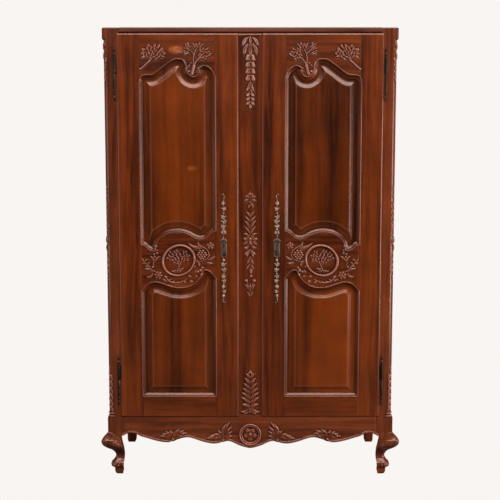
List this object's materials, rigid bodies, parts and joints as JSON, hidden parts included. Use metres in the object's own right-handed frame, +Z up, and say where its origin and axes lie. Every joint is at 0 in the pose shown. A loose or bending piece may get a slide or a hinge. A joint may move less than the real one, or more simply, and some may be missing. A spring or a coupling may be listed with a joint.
{
  "type": "armoire",
  "caption": "Carved two-door wooden armoire with cabriole front legs, canted posts, arched panelled doors on barrel hinges, and hanging and shelf bays inside.",
  "frame": {"origin": "on the floor, under the middle of the armoire's overall box", "axes": "+Z up, -Y towards the front with the doors, +X to the right as seen from the front"},
  "size_m": [1.3492, 0.5946, 2],
  "materials": {
    "mahogany": "dark red-brown satin lacquer",
    "panel_mahogany": "red-brown satin lacquer with ribbon figure",
    "inside_wood": "plain unpolished wood",
    "aged_brass": "dark aged brass",
    "steel": "dull steel"
  },
  "bodies": {
    "carcass": {"front_post_left": "mahogany", "rear_post_left": "mahogany", "front_post_right": "mahogany", "rear_post_right": "mahogany", "side_bottom_rail_left": "mahogany", "side_mid_rail_left": "mahogany", "side_top_rail_left": "mahogany", "side_upper_panel_left": "panel_mahogany", "side_lower_panel_left": "panel_mahogany", "side_bottom_rail_right": "mahogany", "side_mid_rail_right": "mahogany", "side_top_rail_right": "mahogany", "side_upper_panel_right": "panel_mahogany", "side_lower_panel_right": "panel_mahogany", "apron_rail": "mahogany", "top_rail": "mahogany", "centre_post": "mahogany", "top_board": "mahogany", "bottom_board": "inside_wood", "back_panel": "inside_wood", "partition": "inside_wood", "hat_shelf": "inside_wood", "shelf_lower": "inside_wood", "shelf_middle": "inside_wood", "shelf_upper": "inside_wood", "hanging_rod": "inside_wood", "rod_socket_left": "aged_brass", "rod_socket_right": "aged_brass", "upper_hinge_left_post_leaf": "aged_brass", "upper_hinge_left_pin": "steel", "lower_hinge_left_post_leaf": "aged_brass", "lower_hinge_left_pin": "steel", "upper_hinge_right_post_leaf": "aged_brass", "upper_hinge_right_pin": "steel", "lower_hinge_right_post_leaf": "aged_brass", "lower_hinge_right_pin": "steel"},
    "left_door": {"left_door_hinge_stile": "mahogany", "left_door_lock_stile": "mahogany", "left_door_top_rail": "mahogany", "left_door_mid_rail": "mahogany", "left_door_bottom_rail": "mahogany", "left_door_upper_panel": "panel_mahogany", "left_door_lower_panel": "panel_mahogany", "left_escutcheon": "aged_brass", "left_lock_case": "steel", "upper_hinge_left_door_leaf": "aged_brass", "lower_hinge_left_door_leaf": "aged_brass"},
    "right_door": {"right_door_hinge_stile": "mahogany", "right_door_lock_stile": "mahogany", "right_door_top_rail": "mahogany", "right_door_mid_rail": "mahogany", "right_door_bottom_rail": "mahogany", "right_door_upper_panel": "panel_mahogany", "right_door_lower_panel": "panel_mahogany", "right_escutcheon": "aged_brass", "right_lock_case": "steel", "upper_hinge_right_door_leaf": "aged_brass", "lower_hinge_right_door_leaf": "aged_brass"},
    "left_bolt": {"left_lock_bolt": "steel"},
    "right_bolt": {"right_lock_bolt": "steel"}
  },
  "joints": [
    {"name": "left_door_hinge", "type": "hinge", "parent": "carcass", "child": "left_door", "pos_m": [-0.592, -0.2695, 1.122], "axis": [0, 0, -1], "range_deg": [0, 165]},
    {"name": "right_door_hinge", "type": "hinge", "parent": "carcass", "child": "right_door", "pos_m": [0.592, -0.2695, 1.122], "axis": [0, 0, 1], "range_deg": [0, 165]},
    {"name": "left_bolt_slide", "type": "slide", "parent": "left_door", "child": "left_bolt", "axis": [1, 0, 0], "range_m": [0, 0.012]},
    {"name": "right_bolt_slide", "type": "slide", "parent": "right_door", "child": "right_bolt", "axis": [-1, 0, 0], "range_m": [0, 0.012]}
  ]
}
